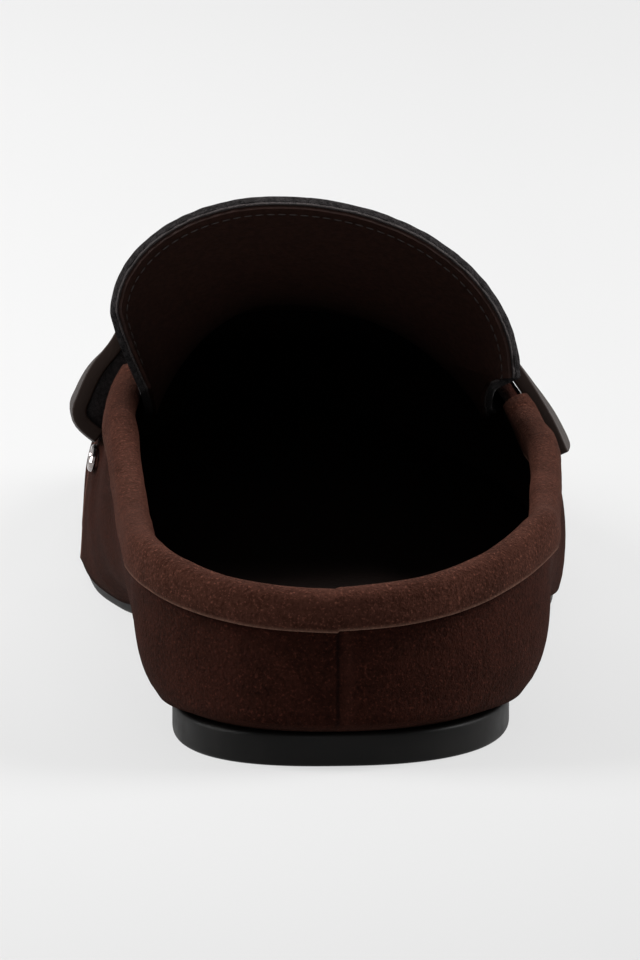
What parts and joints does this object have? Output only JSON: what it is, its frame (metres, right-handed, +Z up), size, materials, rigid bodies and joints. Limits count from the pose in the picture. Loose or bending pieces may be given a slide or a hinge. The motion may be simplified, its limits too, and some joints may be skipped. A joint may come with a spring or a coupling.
{
  "type": "loafer mule",
  "caption": "Low-backed suede loafer mule for the right foot, with rolled collar, tall arched tongue, saddle strap and flat black rubber sole.",
  "frame": {"origin": "on the floor, at the middle of the heel's flat resting face", "axes": "+Z up, +Y towards the toe, -X towards the shoe's medial side"},
  "size_m": [0.0964, 0.2681, 0.0857],
  "materials": {
    "black_rubber": "satin, smooth",
    "footbed_leather": "smooth, matte",
    "brown_suede": "suede nap",
    "collar_suede": "suede nap",
    "tongue_felt": "felt-like outside, leather lined",
    "strap_leather": "smooth, satin",
    "silver_metal": "polished"
  },
  "bodies": {
    "root": {"outsole": "black_rubber", "insole": "footbed_leather", "upper": "brown_suede", "collar": "collar_suede", "tongue": "tongue_felt", "strap": "strap_leather", "link": "silver_metal"}
  },
  "joints": []
}
